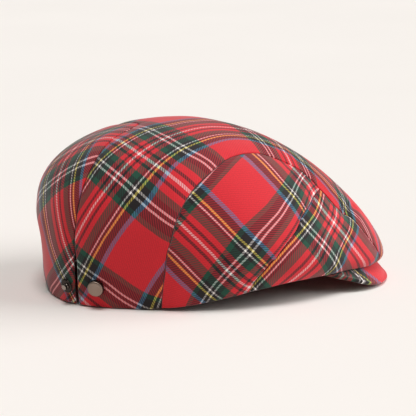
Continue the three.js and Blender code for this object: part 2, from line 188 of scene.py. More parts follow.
TOP_LINES = [
    ("warp", -YELLOW, [(88.6, 178.2), (101.2, 160.4), (109.2, 153), (128, 140), (152, 128.5),
                       (173, 124), (192, 120.5)]),
    ("warp", -WHITE, [(84, 190.9), (92, 175.9), (100, 166.7), (105.8, 159.9)]),
    ("warp", 0, [(76.5, 237.9), (85.1, 220.7), (94.3, 205.8), (103.5, 193.1), (109.2, 186.3),
                 (200, 127.9), (220.7, 126.9), (239.8, 129.1)]),
    ("warp", WHITE, [(79.4, 277), (85.1, 265.5), (92, 251.7), (101.2, 236.8), (109.2, 224.1)]),
    ("warp", YELLOW, [(87.4, 270.1), (95.4, 254), (105.8, 235.6), (128, 204), (139.5, 190),
                      (160.5, 166), (184, 149), (210.8, 138.7), (233.2, 135.5), (253.9, 137.9),
                      (262.2, 140.8), (273, 144.5), (282.9, 148.2), (291.2, 152.4), (299.5, 159.4),
                      (307.8, 165.2), (316.1, 171.8), (331.8, 190.7), (338.7, 198.7), (344.3, 206.5)]),
    ("warp", BLUE, [(94.3, 279.3), (103.5, 263.2), (149.6, 202), (211.6, 144.5), (233.2, 139.1),
                    (253.1, 140.2), (270.5, 146.1), (286.2, 151.5), (299.5, 161.1), (309.5, 169.4),
                    (316.1, 176), (326.5, 186.5), (334.1, 195.7), (340.3, 203.3)]),
    ("weft", PAIR - WEFT_REPEAT, [(85.8, 270.5), (104.1, 283), (130, 302)]),
    ("weft", -PAIR, [(102.2, 164), (117.5, 175.8), (150, 204.7), (170, 220.4)]),
    ("weft", 0, [(160.2, 166.8), (188.3, 189.7)]),
    ("weft", PAIR, [(184.4, 149), (212, 165)]),
    ("weft", WEFT_REPEAT - PAIR, [(269.5, 151.1)]),
    ("weft", WEFT_REPEAT, [(287.9, 156.9)]),
    ("weft", WEFT_REPEAT + PAIR, [(302.8, 162.7), (305.3, 167.7), (309.5, 176)]),
    ("weft", 2 * WEFT_REPEAT - PAIR, [(339.5, 189.5), (341.9, 194.5), (343.7, 199), (345, 203)]),
]
NOSE_LINES = [
    ("warp", BLUE, [(376.4, 236.4), (379.3, 248.6), (377.9, 255.7), (375.5, 260.5)]),
    ("warp", YELLOW, [(381.4, 249.3), (381.4, 253.6), (380, 258)]),
    ("warp", WARP_REPEAT / 2, [(362, 212), (366, 228)]),
    ("weft", PAIR_NEAR, [(352.1, 213.6), (356.4, 216.4), (360.7, 220.7)]),
    ("weft", PAIR_FAR, [(353.6, 211.4), (360, 216.8), (363.6, 222.9), (369.3, 232.9)]),
    ("weft", RED, [(357, 210.5), (363, 216), (367.5, 223.5), (372, 233)]),
    ("weft", WEFT_REPEAT / 2, [(364, 209), (371, 221)]),
]
BACK_LINES = [
    ("warp", -BLUE, [(43.8, 227.6), (47.2, 244.8), (53, 263.2), (59.9, 278.1), (66.7, 294.2)]),
    ("warp", -YELLOW, [(43.2, 203.5), (45.5, 221.8), (48.9, 239.1), (54.7, 257.4), (62.1, 275.8),
                       (70.2, 294.2)]),
    ("warp", -WHITE, [(46.1, 201.2), (47.2, 219.6), (51.2, 239.1), (56.4, 256.3), (63.3, 273.5),
                      (73.6, 296.5)]),
    ("warp", 0, [(73.6, 263.8), (69, 255.1), (64.4, 242.5), (61, 227.6), (58.1, 210.4),
                 (57, 196.6), (58.1, 179.4), (61, 171.3), (65.6, 159.9), (72.5, 151.8)]),
    ("warp", WHITE, [(74.8, 227.6), (71.9, 212.7), (70.2, 194.3), (71.9, 179.4), (74.2, 165.6),
                     (79.4, 155.3), (87.4, 144.9)]),
    ("warp", BLUE, [(81.1, 194.3), (81.7, 178.2), (84.5, 164.4), (89.7, 151.8), (96.6, 140.3)]),
    ("weft", PAIR, [(51.2, 290.7), (58.5, 279.2), (65, 270.1), (73, 259.7)]),
    ("weft", WEFT_REPEAT - PAIR, [(46.9, 186.2), (58.1, 177.6), (64.4, 171.9), (74.2, 166.8),
                                  (84.5, 162.1), (94.3, 158.4)]),
    ("weft", WEFT_REPEAT, [(101, 138)]),
]
PEAK_LINES = [
    ("warp", WHITE, [(353.3, 271.5), (357.9, 275.3), (363.2, 278.4), (367.1, 282.2)]),
    ("warp", YELLOW, [(355.6, 270.7), (360.9, 274.2), (367.1, 278.4), (371.7, 283)]),
    ("warp", BLUE, [(360.9, 270.7), (367.1, 273.8), (373.2, 277.6), (378.6, 281.8)]),
    ("weft", 0, [(345.2, 273), (342.9, 276.8)]),
    ("weft", PAIR, [(361.4, 280.2), (360.7, 283)]),
    ("weft", RED, [(369, 279.5)]),
    ("weft", WEFT_REPEAT / 2, [(380, 272)]),
    ("warp", WARP_REPEAT / 2, [(383, 266)]),
]

# Maps of the cloth, and how a flat layout eases through its lines
CLOTH_MAP = "cloth"
WEAVE_MAP = "weave"
HIDDEN_STEP = 55
EASE_UNIT = 60
EASE_SLACK = 0.02

# Threads: colours as seen in the photo, 0 to 255
THREAD_COLOURS = {
    "red": (212, 51, 61),
    "white": (238, 234, 230),
    "black": (46, 41, 43),
    "green": (40, 84, 68),
    "yellow": (236, 216, 96),
    "blue": (92, 138, 178),
}
SCREEN_GAMMA = 2.2

# Finish of the cloth: twill ribs with painted shade on one side of each, stripes that drift a little,
# fibres and a soft sheen
TWILL = {"pitch": 2.4, "contrast": 0.17, "edge": (0.35, 0.65), "span": (0.25, 0.75), "tone": (1.04, 0.95)}
DRIFT = {"scale": 0.08, "detail": 2, "reach": 0.9}
FIBRE = {"scale": 1.1, "detail": 3, "tone": (0.88, 1.1), "roughness": (0.78, 0.92), "height": 0.6}
RELIEF = {"depth": 0.1, "strength": 0.7}
CLOTH_SHINE = {"Specular IOR Level": 0.35, "Sheen Weight": 0.35, "Sheen Roughness": 0.5}
NOISE_SPAN = (0.3, 0.7)

# Snaps: where each stands on the crown, and its section from the foot up, as radius and height
SNAP_GAP = 0.3
SNAP_SIDES = 72
TURNED_MAP = "turned"
SNAP_CAP_PLACE = (130.4, 1.73)
SNAP_STUD_PLACE = (143.9, 1.78)
SNAP_CAP_SECTION = [
    (0, 0), (5.4, 0), (5.95, 0.15), (6.25, 0.5), (6.25, 3), (6.17, 3.5),
    (5.9, 3.95), (5.4, 4.25), (4.8, 4.38), (3, 4.5), (0, 4.58),
]
SNAP_STUD_SECTION = [
    (0, 0), (5.4, 0), (5.6, 0.2), (5.6, 0.6), (5.4, 0.85), (4.9, 1.15),
    (4.4, 1.18), (3.8, 0.98), (3.1, 0.88), (2.5, 0.95), (2.15, 1.3), (2.1, 2.2),
    (2.4, 2.7), (2.5, 3.05), (2.35, 3.45), (1.9, 3.8), (1, 3.97), (0, 4),
]

# Metal of the snaps: colour, and a darker tone for all that lies outside the bright middle, which on the
# cap is painted shade on its side wall and on the stud darkens its dish and ring
CAP_METAL = {"colour": (158, 142, 131), "roughness": (0.34, 0.46), "bright_radius": 5.95, "dark_tone": 0.3}
STUD_METAL = {"colour": (170, 158, 150), "roughness": (0.2, 0.3), "bright_radius": 2.1, "dark_tone": 0.18}
RING_NOISE = {"Scale": 5, "Detail": 3}
RING_TONE = (0.88, 1.1)
DARKENING = 0.3
METAL_SHINE = {"Anisotropic": 0.7, "Metallic": 1}

# Stage, with the name, direction from the cap, width in degrees and strength of each light
FLOOR_SIZE = 40
FLOOR_COLOUR = (242, 238, 234)
FLOOR_NOISE = {"scale": 2, "detail": 2, "tone": (0.99, 1.01)}
FLOOR_SHINE = {"Roughness": 0.9, "Specular IOR Level": 0.2}
SKY_COLOUR = (255, 250, 244)
SKY_STRENGTH = 0.2
LIGHTS = [
    ("overhead", (-0.02, -0.19, 1), 25, 1.41),
    ("window", (1, 0.01, 0.5), 50, 1.86),
]

# Faces along and across the panels
LEG_STEPS = 64
CREST_STEPS = 78
NOSE_STEPS = 64
LIP_STEPS = 10
TOP_STEPS = 40
SIDE_STEPS = 64
FRONT_STEPS = 72
BACK_STEPS = 46
PEAK_STEPS = 120
PEAK_DEPTH_STEPS = 36
PEAK_EDGE_STEPS = 10
CURVE_SAMPLES = 400
CLOSENESS = 0.8
MERGE_DISTANCE = 1e-6


# Shape of the crown


def column(table, columns, name, angle):
    """Smooth value of one column of a table at each direction, level at both ends and where it turns."""
    angles = table[:, 0]
    values = table[:, columns.index(name)]
    rise = np.diff(values) / np.diff(angles)
    slope = np.zeros(len(values))
    across = (values[2:] - values[:-2]) / (angles[2:] - angles[:-2])
    slope[1:-1] = np.where(rise[:-1] * rise[1:] <= 0, 0, across)
    row = np.clip(np.searchsorted(angles, angle, side="right") - 1, 0, len(angles) - 2)
    span = angles[row + 1] - angles[row]
    s = (angle - angles[row]) / span
    start = (1 + 2 * s) * (1 - s) ** 2 * values[row]
    end = s * s * (3 - 2 * s) * values[row + 1]
    return start + end + span * (s * (1 - s) ** 2 * slope[row] + s * s * (s - 1) * slope[row + 1])


def crown_column(name, angle):
    return column(CROWN, CROWN_COLUMNS, name, angle)


def place(angle, depth):
    """A place on the crown: a flat vector that points as the place lies in plan, as long as its depth."""
    turn = np.radians(angle)
    return np.stack([depth * np.cos(turn), -depth * np.sin(turn)], -1)


def angle_of(spots):
    return np.abs(np.degrees(np.arctan2(spots[..., 1], spots[..., 0])))


def depth_of(spots):
    return np.hypot(spots[..., 0], spots[..., 1])


def smooth_crown(spots):
    depth = depth_of(spots)
    angle = angle_of(spots)
    quarter = np.minimum(depth, 1) * math.pi / 2
    under = np.maximum(depth - 1, 0)
    slope = crown_column("slope", angle)
    belly = crown_column("belly_z", angle)
    drop = slope * np.sin(quarter) ** 2 + (1 - slope) * (1 - np.cos(quarter))
    share = np.sin(quarter) - (1 - crown_column("rim_share", angle)) * under ** 2
    reach = crown_column("reach", angle) * share / np.maximum(depth, TINY)
    rim = crown_column("rim_z", angle)
    z = CROWN_HEIGHT - (CROWN_HEIGHT - belly) * drop + (rim - belly) * under
    return np.stack([APEX_X + reach * spots[..., 0], reach * spots[..., 1], z], -1)


def unit(vectors):
    return vectors / np.maximum(np.linalg.norm(vectors, axis=-1, keepdims=True), TINY)


def crown_normal(spots):
    step = 1e-3
    ahead = np.array([step, 0])
    aside = np.array([0, step])
    forward = smooth_crown(spots + ahead) - smooth_crown(spots - ahead)
    sideways = smooth_crown(spots + aside) - smooth_crown(spots - aside)
    return unit(np.cross(forward, sideways))


def seam_line(rows, shares):
    """Places along a seam, which is a smooth curve through its rows."""
    knots = place(rows[:, 0], rows[:, 1])
    knots = np.vstack([knots[:1], knots, knots[-1:]])
    where = shares * (len(rows) - 1)
    row = np.minimum(where.astype(int), len(rows) - 2)
    s = (where - row)[:, None]
    before, start, end, after = (knots[row + k] for k in range(4))
    leave = (end - before) / 2
    arrive = (after - start) / 2
    bend = (2 * start - 2 * end + leave + arrive) * s ** 3
    return bend + (3 * end - 3 * start - 2 * leave - arrive) * s ** 2 + leave * s + start


def middle_line(start, end, shares):
    return np.stack([start + (end - start) * shares, np.zeros(len(shares))], -1)


def spaced(spots, shares):
    """Places along a fine line of places, at the given shares of its length on the crown."""
    steps = np.linalg.norm(np.diff(smooth_crown(spots), axis=0), axis=1)
    run = np.concatenate([[0], np.cumsum(steps)])
    return np.stack([np.interp(shares * run[-1], run, spots[:, k]) for k in range(2)], -1)


def seam_places(rows, first, last, shares):
    """Places on a seam between two of its rows."""
    fine = np.linspace(first, last, CURVE_SAMPLES) / (len(rows) - 1)
    return spaced(seam_line(rows, fine), shares)


def middle_places(start, end, shares):
    return spaced(middle_line(start, end, np.linspace(0, 1, CURVE_SAMPLES)), shares)


def rim_arc(start, end, shares):
    angles = start + (end - start) * shares
    return place(angles, np.full(len(angles), float(RIM_DEPTH)))


def even(steps):
    return np.linspace(0, 1, steps + 1)


def closer_at_both_ends(steps):
    s = even(steps)
    return s - CLOSENESS * np.sin(2 * math.pi * s) / (2 * math.pi)


def closer_at_start(steps):
    s = even(steps)
    return s - CLOSENESS * np.sin(math.pi * s) / math.pi


def followed_by(*lines):
    """Lines of places end to end, without repeating the place where they meet."""
    return np.vstack([lines[0]] + [line[1:] for line in lines[1:]])


def edge_gap(spots):
    """Clear width at places on a seam: the plain gap, or the notch at the foot of a back seam."""
    opening = NOTCH["full_depth"] - NOTCH["top_depth"]
    share = np.clip((depth_of(spots) - NOTCH["top_depth"]) / opening, 0, 1)
    share = share * share * (3 - 2 * share) * (angle_of(spots) > NOTCH["from_angle"])
    return SEAM_GAP + (NOTCH["width"] - SEAM_GAP) * share


def drawn_in(edge, opposite):
    """An edge of a panel drawn in from its seam, square to the seam, towards the opposite edge."""
    step = 0.01
    points = smooth_crown(edge)
    along = unit(np.gradient(points, axis=0))
    nearby = edge + (opposite - edge) * step
    square = np.linalg.norm(np.cross(smooth_crown(nearby) - points, along), axis=1) / step
    share = edge_gap(edge) / 2 / np.maximum(square, TINY)
    return edge + (opposite - edge) * np.minimum(share, MOST_DRAWN_IN)[:, None]


def panel_places(left, right, first, across, fade):
    """Places of a panel on lines between two edges; the bow of its first row fades out along them."""
    chord = first[0] + (first[-1] - first[0]) * across[:, None]
    bow = (first - chord)[None] * fade[:, None, None]
    return left[:, None] + (right - left)[:, None] * across[None, :, None] + bow


LEG_SHARES = closer_at_start(LEG_STEPS)
LEG_EDGE = seam_places(TOP_SEAM, 0, SHOULDER_ROW, LEG_SHARES)
CREST_EDGE = seam_places(TOP_SEAM, SHOULDER_ROW, JUNCTION_ROW, even(CREST_STEPS))
NOSE_EDGE = seam_places(TOP_SEAM, JUNCTION_ROW, len(TOP_SEAM) - 1, even(NOSE_STEPS))
LIP_EDGE = seam_places(LIP_SEAM, 0, 1, even(LIP_STEPS))
BACK_EDGE = seam_places(BACK_SEAM, 0, len(BACK_SEAM) - 1, LEG_SHARES)
FRONT_EDGE = seam_places(FRONT_SEAM, 0, len(FRONT_SEAM) - 1, even(NOSE_STEPS))
SEAM_LINES = [LEG_EDGE, CREST_EDGE, NOSE_EDGE, LIP_EDGE, BACK_EDGE, FRONT_EDGE]
TUCK_ROW = LEG_STEPS + CREST_STEPS + np.linalg.norm(NOSE_EDGE - place(*PINCH), axis=1).argmin()


# Cloth over the crown


def tree_of(points):
    tree = KDTree(len(points))
    for k, point in enumerate(points):
        tree.insert(point, k)
    tree.balance()
    return tree


def nearest_distance(tree, points):
    flat = points.reshape(-1, 3)
    return np.array([tree.find(point)[2] for point in flat]).reshape(points.shape[:-1])


SEAM_TREE = tree_of(np.vstack([smooth_crown(line) for line in SEAM_LINES]))


def edge_distances(points, borders):
    """Distance of each point of a grid from the nearest of its edges that are borders of the panel."""
    far = np.full(points.shape[:2], math.inf)

    def run_in(grid):
        steps = np.linalg.norm(np.diff(grid, axis=1), axis=2)
        run = np.concatenate([np.zeros((len(grid), 1)), np.cumsum(steps, axis=1)], axis=1)
        along = unit(np.gradient(grid[:, 0], axis=0))
        inward = unit(grid[:, 2] - grid[:, 0])
        return run * np.linalg.norm(np.cross(inward, along), axis=1)[:, None]

    turned = points.transpose(1, 0, 2)
    if "first_column" in borders:
        far = np.minimum(far, run_in(points))
    if "last_column" in borders:
        length = borders["last_column"]
        away = run_in(points[:length, ::-1])[:, ::-1]
        far[:length] = np.minimum(far[:length], away)
    if "first_row" in borders:
        far = np.minimum(far, run_in(turned).T)
    if "last_row" in borders:
        far = np.minimum(far, run_in(turned[:, ::-1]).T[::-1])
    return far


def rolled(away):
    """How far the cloth turns in at a distance from its edge."""
    left = np.clip(1 - away / EDGE_ROLL, 0, 1)
    return EDGE_ROLL * (1 - np.sqrt(1 - left ** 2))


def segment_distance(points, start, end):
    way = end - start
    share = np.clip((points - start) @ way / max(way @ way, TINY), 0, 1)
    return np.linalg.norm(points - start - share[..., None] * way, axis=-1)


def fold_lift(points):
    lift = np.zeros(points.shape[:-1])
    for angle, depth, to_angle, to_depth, height, width in FOLDS:
        start, end = smooth_crown(place(np.array([angle, to_angle]), np.array([depth, to_depth])))
        away = segment_distance(points, start, end)
        lift += height * np.exp(-(away / width) ** 2)
    return lift


def noise_at(points, scale):
    flat = points.reshape(-1, 3) / scale
    return np.array([noise.noise(point) for point in flat.tolist()]).reshape(points.shape[:-1])


def cloth_points(places, borders):
    """Outer points of a panel: the smooth crown with its seams, rolled edges, folds and slight waves."""
    points = smooth_crown(places)
    seam_away = nearest_distance(SEAM_TREE, points)
    lift = -SEAM_DIP["depth"] * np.exp(-(seam_away / SEAM_DIP["reach"]) ** 2)
    lift -= rolled(edge_distances(points, borders))
    lift += fold_lift(points)
    lift += WAVE["height"] * noise_at(points, WAVE["size"])
    pucker = PUCKER["height"] * np.exp(-seam_away / PUCKER["reach"])
    lift += pucker * noise_at(points, PUCKER["size"])
    return points + crown_normal(places) * lift[..., None]


# Pieces


def grid_sheet(points):
    """A bmesh sheet through a grid of points in millimetres."""
    rows, columns = points.shape[:2]
    half = 0.5
    sheet = bmesh.new()
    bmesh.ops.create_grid(sheet, x_segments=columns - 1, y_segments=rows - 1, size=half)
    for vert in sheet.verts:
        j = round((vert.co.x + half) * (columns - 1))
        i = round((vert.co.y + half) * (rows - 1))
        vert.co = points[i, j] * MM
    return sheet


def faced_out(sheet, centre):
    """Turns a sheet's faces round if most of them look towards a point inside it."""
    sheet.normal_update()
    outward = 0
    for face in sheet.faces:
        outward += face.normal.dot(face.calc_center_median() - centre) * face.calc_area()
    if outward < 0:
        bmesh.ops.reverse_faces(sheet, faces=sheet.faces[:])


def mirrored_across(sheet):
    """Adds the other half of a sheet that reaches the middle of the cap."""
    everything = sheet.verts[:] + sheet.edges[:] + sheet.faces[:]
    bmesh.ops.mirror(sheet, geom=everything, matrix=Matrix(), merge_dist=MERGE_DISTANCE, axis="Y")
    bmesh.ops.recalc_face_normals(sheet, faces=sheet.faces[:])


def new_piece(name, body):
    mesh = bpy.data.meshes.new(name)
    body.to_mesh(mesh)
    body.free()
    mesh.shade_smooth()
    piece = bpy.data.objects.new(name, mesh)
    bpy.context.scene.collection.objects.link(piece)
    return piece


def finished(piece, node, material):
    piece.data.materials.append(material)
    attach(piece, "root")
    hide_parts(node)


def cloth_wall(piece):
    wall = piece.modifiers.new("cloth wall", "SOLIDIFY")
    wall.thickness = CLOTH_WALL * MM
    wall.offset = -1


def unwrapped(piece):
    """Lays a sheet out flat at its real size, as cloth coordinates in millimetres."""
    piece.data.uv_layers.new(name=CLOTH_MAP)
    piece.data.uv_layers.new(name=WEAVE_MAP)
    bpy.context.view_layer.objects.active = piece
    piece.select_set(True)
    bpy.ops.object.mode_set(mode="EDIT")
    bpy.ops.mesh.select_all(action="SELECT")
    bpy.ops.uv.unwrap(method="MINIMUM_STRETCH", fill_holes=False, margin=0)
    bpy.ops.object.mode_set(mode="OBJECT")
    piece.select_set(False)
    mesh = piece.data
    flat = read_map(mesh, CLOTH_MAP)
    mesh.calc_loop_triangles()
    corners = np.array([triangle.loops for triangle in mesh.loop_triangles])
    a, b, c = (flat[corners[:, k]] for k in range(3))
    flat_area = np.cross(b - a, c - a).sum() / 2
    real_area = sum(triangle.area for triangle in mesh.loop_triangles)
    write_map(mesh, CLOTH_MAP, flat * math.sqrt(real_area / abs(flat_area)) / MM)


def read_map(mesh, name):
    flat = np.empty(len(mesh.loops) * 2)
    mesh.uv_layers[name].data.foreach_get("uv", flat)
    return flat.reshape(-1, 2)


def write_map(mesh, name, flat):
    mesh.uv_layers[name].data.foreach_set("uv", flat.ravel())


def camera_axes():
    """Right, up and backward directions of the camera."""
    tilt = math.radians(CAMERA["elevation"])
    roll = math.radians(CAMERA["roll"])
    back = Vector((0, -math.cos(tilt), math.sin(tilt)))
    level = Vector((1, 0, 0))
    upright = back.cross(level)
    right = level * math.cos(roll) - upright * math.sin(roll)
    up = upright * math.cos(roll) + level * math.sin(roll)
    return right, up, back


def camera_stand():
    return (Vector(TARGET) + camera_axes()[2] * CAMERA["distance"]) * MM


def flat_spot(piece, pixel):
    """Place in a piece's flat layout seen at a pixel, or None where the piece isn't there."""
    right, up, back = camera_axes()
    across = (pixel[0] - TARGET_PIXEL[0]) / FOCAL_PIXELS
    down = (pixel[1] - TARGET_PIXEL[1]) / FOCAL_PIXELS
    way = (right * across - up * down - back).normalized()
    hit, spot, normal, index = piece.ray_cast(camera_stand(), way)
    if not hit or normal.dot(way) > 0:
        return None
    mesh = piece.data
    face = mesh.polygons[index]
    weights = poly_3d_calc([mesh.vertices[k].co for k in face.vertices], spot)
    flats = [mesh.uv_layers[CLOTH_MAP].data[k].uv for k in face.loop_indices]
    return sum((flat * weight for flat, weight in zip(flats, weights)), Vector((0, 0)))


def known_spots(piece, lines, threads):
    """Flat places on the lines of one set of threads, and their distances from the middle of the sett."""
    rows = []
    for kind, far, pixels in lines:
        if kind == threads:
            rows += [(flat_spot(piece, pixel), far) for pixel in pixels]
    rows = [row for row in rows if row[0] is not None]
    return np.array([spot for spot, _ in rows]), np.array([far for _, far in rows], float)


def turned_layout(warp_spots, warp, weft_spots, weft):
    """The turn and shift, without stretch, that bring a flat layout closest to the known distances."""
    across = np.column_stack([warp_spots[:, 0], -warp_spots[:, 1]])
    along = np.column_stack([weft_spots[:, 1], weft_spots[:, 0]])
    shift_across = np.tile((1, 0), (len(across), 1))
    shift_along = np.tile((0, 1), (len(along), 1))
    turns = np.vstack([across, along])
    shifts = np.vstack([shift_across, shift_along])
    wanted = np.concatenate([warp, weft])
    turn = np.linalg.lstsq(np.hstack([turns, shifts]), wanted, rcond=None)[0][:2]
    cosine, sine = turn / np.linalg.norm(turn)
    shift = np.linalg.lstsq(shifts, wanted - turns @ (cosine, sine), rcond=None)[0]
    return np.array([(cosine, sine), (-sine, cosine)]), shift


def plate(spots, others):
    """How much a thin plate lifted at each spot bends at the others."""
    apart = np.linalg.norm(others[:, None] - spots[None], axis=2) / EASE_UNIT
    return apart ** 2 * np.log(np.maximum(apart, TINY))


def eased(spots, misfits, flat):
    """Misfits at some spots of a flat layout, spread over all of it as a thin plate bends."""
    cells = np.unique(np.round(flat / HIDDEN_STEP), axis=0) * HIDDEN_STEP
    hidden = [cell for cell in cells if np.linalg.norm(spots - cell, axis=1).min() > HIDDEN_STEP]
    pins = np.vstack([spots] + hidden)
    lifts = np.concatenate([misfits, np.zeros(len(hidden) + 3)])
    level = np.column_stack([np.ones(len(pins)), pins / EASE_UNIT])
    bend = plate(pins, pins) + EASE_SLACK * np.eye(len(pins))
    weights = np.linalg.solve(np.block([[bend, level], [level.T, np.zeros((3, 3))]]), lifts)
    flat_level = np.column_stack([np.ones(len(flat)), flat / EASE_UNIT])
    return plate(pins, flat) @ weights[:-3] + flat_level @ weights[-3:]


def laid(piece, lines):
    """Makes the weave map, a piece's flat layout turned to its threads, and eases it into the cloth map,
    so that the tartan runs through its known lines."""
    bpy.context.view_layer.update()
    warp_spots, warp = known_spots(piece, lines, "warp")
    weft_spots, weft = known_spots(piece, lines, "weft")
    turn, shift = turned_layout(warp_spots, warp, weft_spots, weft)
    flat = read_map(piece.data, CLOTH_MAP)
    cloth = flat @ turn + shift
    write_map(piece.data, WEAVE_MAP, cloth)
    cloth[:, 0] += eased(warp_spots, warp - (warp_spots @ turn + shift)[:, 0], flat)
    cloth[:, 1] += eased(weft_spots, weft - (weft_spots @ turn + shift)[:, 1], flat)
    write_map(piece.data, CLOTH_MAP, cloth)


def blunted(edge):
    """The edge of a panel that runs to a point, stopped just short of the point."""
    short = edge.copy()
    short[-1] = edge[-1] + (edge[-2] - edge[-1]) * TIP_CUT
    return short


def top_half():
    """The near half of the top panel: its leg, its crest to the middle, its nose and its lip."""
    tip = BACK_EDGE[-1, 0]
    across = closer_at_both_ends(TOP_STEPS)
    left = followed_by(LEG_EDGE, CREST_EDGE, NOSE_EDGE, LIP_EDGE)
    crest = middle_places(tip, MIDDLE_JUNCTION, even(CREST_STEPS))
    nose = middle_places(MIDDLE_JUNCTION, 1, even(NOSE_STEPS))
    right = followed_by(BACK_EDGE, crest, nose, middle_places(1, RIM_DEPTH, even(LIP_STEPS)))
    inner_left = drawn_in(left, right)
    inner_right = np.vstack([drawn_in(right, left)[:LEG_STEPS], right[LEG_STEPS:]])
    rim = rim_arc(angle_of(inner_left[0]), angle_of(inner_right[0]), across)
    fade = np.concatenate([1 - LEG_SHARES, np.zeros(len(left) - len(LEG_SHARES))])
    places = panel_places(inner_left, inner_right, rim, across, fade)
    borders = {"first_column": True, "last_column": LEG_STEPS, "first_row": True, "last_row": True}
    points = cloth_points(places, borders)
    points[LEG_STEPS:, -1, 1] = 0
    return points


def back_half():
    """The near half of the pointed gore at the back."""
    tip = BACK_EDGE[-1, 0]
    across = closer_at_start(BACK_STEPS)
    left = blunted(BACK_EDGE)
    right = blunted(middle_places(-RIM_DEPTH, tip, LEG_SHARES))
    inner_left = drawn_in(left, right)
    rim = rim_arc(angle_of(inner_left[0]), 180, across)
    places = panel_places(inner_left, right, rim, across, 1 - LEG_SHARES)
    points = cloth_points(places, {"first_column": True, "first_row": True, "last_row": True})
    points[:, -1, 1] = 0
    return points


def side_points():
    """The panel over the right ear."""
    across = closer_at_both_ends(SIDE_STEPS)
    left = blunted(followed_by(LEG_EDGE, CREST_EDGE))
    shares = closer_at_start(LEG_STEPS + CREST_STEPS)
    right = blunted(seam_places(FRONT_SEAM, 0, len(FRONT_SEAM) - 1, shares))
    inner_left = drawn_in(left, right)
    inner_right = drawn_in(right, left)
    rim = rim_arc(angle_of(inner_left[0]), angle_of(inner_right[0]), across)
    fade = np.concatenate([1 - LEG_SHARES, np.zeros(CREST_STEPS)])
    places = panel_places(inner_left, inner_right, rim, across, fade)
    borders = {"first_column": True, "last_column": len(left), "first_row": True, "last_row": True}
    return cloth_points(places, borders)


def front_points():
    """The panel from the slanted front seam to the nose, on the right."""
    across = closer_at_both_ends(FRONT_STEPS)
    shares = closer_at_both_ends(NOSE_STEPS)
    seam = seam_places(FRONT_SEAM, 0, len(FRONT_SEAM) - 1, across)
    rim = rim_arc(FRONT_SEAM[0, 0], LIP_SEAM[1, 0], shares)
    nose = seam_places(TOP_SEAM, JUNCTION_ROW, len(TOP_SEAM) - 1, shares)
    places = panel_places(rim, nose, seam, across, 1 - shares)
    places[:, -1] = drawn_in(places[:, -1], places[:, -2])
    places[0] = drawn_in(places[0], places[1])
    places[-1] = drawn_in(places[-1], places[-2])
    borders = {"first_column": True, "last_column": len(places), "first_row": True, "last_row": True}
    return cloth_points(places, borders)


def peak_middle(angle, share):
    """Middle of the peak's board: a gentle fall to its seat under the crown, then a quicker roll down."""
    def value(name):
        return column(PEAK, PEAK_COLUMNS, name, angle)

    edge = crown_column("reach", angle) * crown_column("rim_share", angle) - SEAT_INSET
    length = value("outer_reach") - value("inner_reach")
    seat = np.minimum(1, (edge - value("inner_reach")) / length)
    seat_fall = value("inner_z") - (crown_column("rim_z", angle) - PEAK_SEAT_GAP - PEAK_WALL / 2)
    whole_fall = value("inner_z") - value("outer_z")
    room = np.maximum(seat - seat ** PEAK_ROLL, TINY)
    roll = np.where(seat < 1, (seat * whole_fall - seat_fall) / room, 0)
    fall = (whole_fall - roll) * share + roll * share ** PEAK_ROLL
    flat = place(angle, value("inner_reach") + length * share)
    return np.stack([APEX_X + flat[..., 0], flat[..., 1], value("inner_z") - fall], -1)


def peak_grid(angle, share, side):
    """Points of the peak's upper (1) or lower (-1) face."""
    step = 0.01
    turn = 0.5
    angle, share = np.broadcast_arrays(np.abs(angle), share)
    along = peak_middle(angle, share + step) - peak_middle(angle, share - step)
    across = peak_middle(angle + turn, share) - peak_middle(np.maximum(angle - turn, 0), share)
    normal = unit(np.cross(across, along))
    normal[angle < turn, 1] = 0
    return peak_middle(angle, share) + side * PEAK_WALL / 2 * unit(normal)


def peak_points():
    """Cloth round the peak: over the top, round the outer edge, back underneath and up to the start."""
    angle = np.linspace(-PEAK[-1, 0], PEAK[-1, 0], PEAK_STEPS + 1)
    share = even(PEAK_DEPTH_STEPS)[:, None]
    top = peak_grid(angle[None], share, 1)
    under = peak_grid(angle[None], share, -1)[::-1]
    centre = (top[-1] + under[0]) / 2
    up = (top[-1] - under[0]) / 2
    outward = unit((top[-1] - top[-2]) * (1, 1, 0)) * PEAK_WALL / 2
    turns = np.linspace(0, math.pi, PEAK_EDGE_STEPS + 1)[1:-1]
    edge = [centre + up * math.cos(turn) + outward * math.sin(turn) for turn in turns]
    points = np.concatenate([top, np.array(edge), under, top[:1]])
    points[..., 1] *= np.sign(angle)[None]
    return points


def mirrored_piece(piece, copy_name):
    """The left-hand copy of a right-hand panel, cut from cloth turned over along its warp."""
    body = bmesh.new()
    body.from_mesh(piece.data)
    bmesh.ops.scale(body, vec=(1, -1, 1), verts=body.verts[:])
    bmesh.ops.reverse_faces(body, faces=body.faces[:])
    copy = new_piece(copy_name, body)
    for name in (CLOTH_MAP, WEAVE_MAP):
        write_map(copy.data, name, read_map(copy.data, name) * (-1, 1))
    return copy


def panel(name, points, lines, whole):
    """A panel of cloth through its points, with the other half added if it is to be whole."""
    sheet = grid_sheet(points)
    faced_out(sheet, CROWN_MIDDLE)
    if whole:
        mirrored_across(sheet)
        faced_out(sheet, CROWN_MIDDLE)
    piece = new_piece(name, sheet)
    unwrapped(piece)
    laid(piece, lines)
    return piece


def peak_piece():
    """The covered peak, its cloth laid out flat before its ends are closed."""
    sheet = grid_sheet(peak_points())
    faced_out(sheet, PEAK_MIDDLE)
    piece = new_piece("peak_cloth", sheet)
    unwrapped(piece)
    laid(piece, PEAK_LINES)
    body = bmesh.new()
    body.from_mesh(piece.data)
    bmesh.ops.remove_doubles(body, verts=body.verts[:], dist=MERGE_DISTANCE)
    rims = [edge for edge in body.edges if edge.is_boundary]
    bmesh.ops.holes_fill(body, edges=rims, sides=0)
    bmesh.ops.recalc_face_normals(body, faces=body.faces[:])
    body.to_mesh(piece.data)
    body.free()
    return piece


